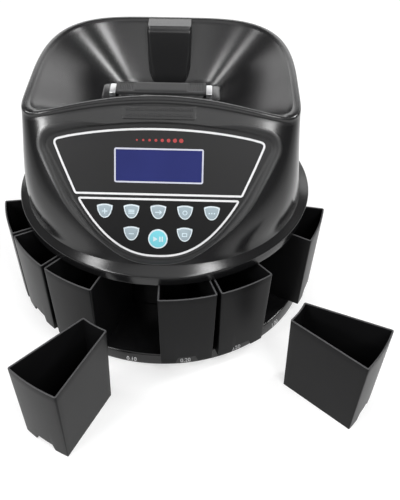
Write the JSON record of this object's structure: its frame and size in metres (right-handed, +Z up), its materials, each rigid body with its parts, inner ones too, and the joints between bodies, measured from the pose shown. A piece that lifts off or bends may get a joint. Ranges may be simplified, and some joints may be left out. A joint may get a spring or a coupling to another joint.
{
  "type": "coin sorter",
  "caption": "Tabletop coin sorter: a funnel feeds a turning disc that drops coins through graded holes into wedge bins round a drum, run from a sloping key panel.",
  "frame": {"origin": "middle of the base plate's underside, on the axis that the bins and the turntable share; the rubber feet reach 3 mm below it to the table", "axes": "+Z up along the turntable axis, -Y towards the front where the panel faces, +X to the right seen from the front"},
  "size_m": [0.4077, 0.4537, 0.2665],
  "materials": {
    "black_body_plastic": "satin moulded black",
    "black_hopper_plastic": "satin moulded black",
    "black_bin_plastic": "fine matt moulded black",
    "charcoal_panel_film": "satin printed film",
    "blue_display_window": "glossy blue window",
    "pale_blue_key": "satin pale blue",
    "turquoise_key": "satin turquoise",
    "chrome_plate": "polished chrome",
    "strap_rubber": "matt soft black",
    "foot_rubber": "matt black",
    "steel": "ground steel",
    "zinc_sheet": "zinc plated sheet",
    "white_moulding": "satin off-white",
    "circuit_board": "green solder mask",
    "bronze_bush": "sintered bronze",
    "belt_rubber": "matt black"
  },
  "bodies": {
    "machine": {"base_plate": "black_body_plastic", "bay_tray": "black_body_plastic", "coin_sensor": "circuit_board", "deck": "black_body_plastic", "disc_cover": "white_moulding", "display_lens": "blue_display_window", "display_module": "circuit_board", "drive_belt": "belt_rubber", "drum_wall": "black_body_plastic", "foot_1": "foot_rubber", "foot_2": "foot_rubber", "foot_3": "foot_rubber", "foot_4": "foot_rubber", "handle_cap_left": "chrome_plate", "handle_cap_right": "chrome_plate", "handle_post_left": "black_hopper_plastic", "handle_post_right": "black_hopper_plastic", "handle_strap": "strap_rubber", "hopper": "black_hopper_plastic", "hopper_block": "black_hopper_plastic", "keypad_board": "circuit_board", "lower_bush": "bronze_bush", "main_board": "circuit_board", "mains_inlet": "black_body_plastic", "motor": "steel", "motor_bracket": "zinc_sheet", "panel_frame": "black_body_plastic", "panel_plate": "charcoal_panel_film", "power_supply": "circuit_board", "sorting_track": "white_moulding", "switch_frame": "black_body_plastic", "transformer": "steel", "upper_bush": "bronze_bush", "upper_housing": "black_body_plastic"},
    "coin_bin_1": {"coin_bin_1": "black_bin_plastic"},
    "coin_bin_2": {"coin_bin_2": "black_bin_plastic"},
    "coin_bin_3": {"coin_bin_3": "black_bin_plastic"},
    "coin_bin_4": {"coin_bin_4": "black_bin_plastic"},
    "coin_bin_5": {"coin_bin_5": "black_bin_plastic"},
    "coin_bin_6": {"coin_bin_6": "black_bin_plastic"},
    "coin_bin_7": {"coin_bin_7": "black_bin_plastic"},
    "coin_bin_8": {"coin_bin_8": "black_bin_plastic"},
    "key_1": {"key_1": "pale_blue_key"},
    "key_2": {"key_2": "pale_blue_key"},
    "key_3": {"key_3": "pale_blue_key"},
    "key_4": {"key_4": "pale_blue_key"},
    "key_5": {"key_5": "pale_blue_key"},
    "key_6": {"key_6": "pale_blue_key"},
    "key_7": {"key_7": "pale_blue_key"},
    "start_key": {"start_key": "turquoise_key"},
    "rocker": {"power_rocker": "black_body_plastic"},
    "turntable": {"turntable": "steel", "sweeper": "belt_rubber", "drive_shaft": "steel", "drive_pulley": "white_moulding"},
    "motor_drive": {"motor_shaft": "steel", "motor_pulley": "white_moulding"}
  },
  "joints": [
    {"name": "coin_bin_1_slide", "type": "slide", "parent": "machine", "child": "coin_bin_1", "axis": [-0.9458, -0.3247, 0], "range_m": [0, 0.095]},
    {"name": "coin_bin_2_slide", "type": "slide", "parent": "machine", "child": "coin_bin_2", "axis": [-0.7744, -0.6327, 0], "range_m": [0, 0.095]},
    {"name": "coin_bin_3_slide", "type": "slide", "parent": "machine", "child": "coin_bin_3", "axis": [-0.5068, -0.8621, 0], "range_m": [0, 0.044]},
    {"name": "coin_bin_4_lift", "type": "slide", "parent": "machine", "child": "coin_bin_4", "axis": [0, 0, 1], "range_m": [0, 0.12]},
    {"name": "coin_bin_5_slide", "type": "slide", "parent": "machine", "child": "coin_bin_5", "axis": [0.1762, -0.9843, 0], "range_m": [0, 0.095]},
    {"name": "coin_bin_6_slide", "type": "slide", "parent": "machine", "child": "coin_bin_6", "axis": [0.5068, -0.8621, 0], "range_m": [0, 0.038]},
    {"name": "coin_bin_7_lift", "type": "slide", "parent": "machine", "child": "coin_bin_7", "axis": [0, 0, 1], "range_m": [0, 0.12]},
    {"name": "coin_bin_8_slide", "type": "slide", "parent": "machine", "child": "coin_bin_8", "axis": [0.9458, -0.3247, 0], "range_m": [0, 0.095]},
    {"name": "key_1_press", "type": "slide", "parent": "machine", "child": "key_1", "axis": [0, 0.8704, -0.4924], "range_m": [0, 0.001], "stiffness_N_per_m": 300, "springref_m": -0.001},
    {"name": "key_2_press", "type": "slide", "parent": "machine", "child": "key_2", "axis": [0, 0.8704, -0.4924], "range_m": [0, 0.001], "stiffness_N_per_m": 300, "springref_m": -0.001},
    {"name": "key_3_press", "type": "slide", "parent": "machine", "child": "key_3", "axis": [0, 0.8704, -0.4924], "range_m": [0, 0.001], "stiffness_N_per_m": 300, "springref_m": -0.001},
    {"name": "key_4_press", "type": "slide", "parent": "machine", "child": "key_4", "axis": [0, 0.8704, -0.4924], "range_m": [0, 0.001], "stiffness_N_per_m": 300, "springref_m": -0.001},
    {"name": "key_5_press", "type": "slide", "parent": "machine", "child": "key_5", "axis": [0, 0.8704, -0.4924], "range_m": [0, 0.001], "stiffness_N_per_m": 300, "springref_m": -0.001},
    {"name": "key_6_press", "type": "slide", "parent": "machine", "child": "key_6", "axis": [0, 0.8704, -0.4924], "range_m": [0, 0.001], "stiffness_N_per_m": 300, "springref_m": -0.001},
    {"name": "key_7_press", "type": "slide", "parent": "machine", "child": "key_7", "axis": [0, 0.8704, -0.4924], "range_m": [0, 0.001], "stiffness_N_per_m": 300, "springref_m": -0.001},
    {"name": "start_key_press", "type": "slide", "parent": "machine", "child": "start_key", "axis": [0, 0.8704, -0.4924], "range_m": [0, 0.001], "stiffness_N_per_m": 300, "springref_m": -0.001},
    {"name": "rocker_tip", "type": "hinge", "parent": "machine", "child": "rocker", "pos_m": [-0.022, 0.1485, 0.042], "axis": [1, 0, 0], "range_deg": [-18, 0]},
    {"name": "turntable_spin", "type": "hinge", "parent": "machine", "child": "turntable", "pos_m": [0, 0, 0.118], "axis": [0, 0, 1], "continuous": true},
    {"name": "motor_spin", "type": "hinge", "parent": "machine", "child": "motor_drive", "pos_m": [0, 0.082, 0.08], "axis": [0, 0, 1], "continuous": true}
  ],
  "couplings": [
    {"joint": "motor_spin", "follows": "turntable_spin", "ratio": 4.2222}
  ]
}
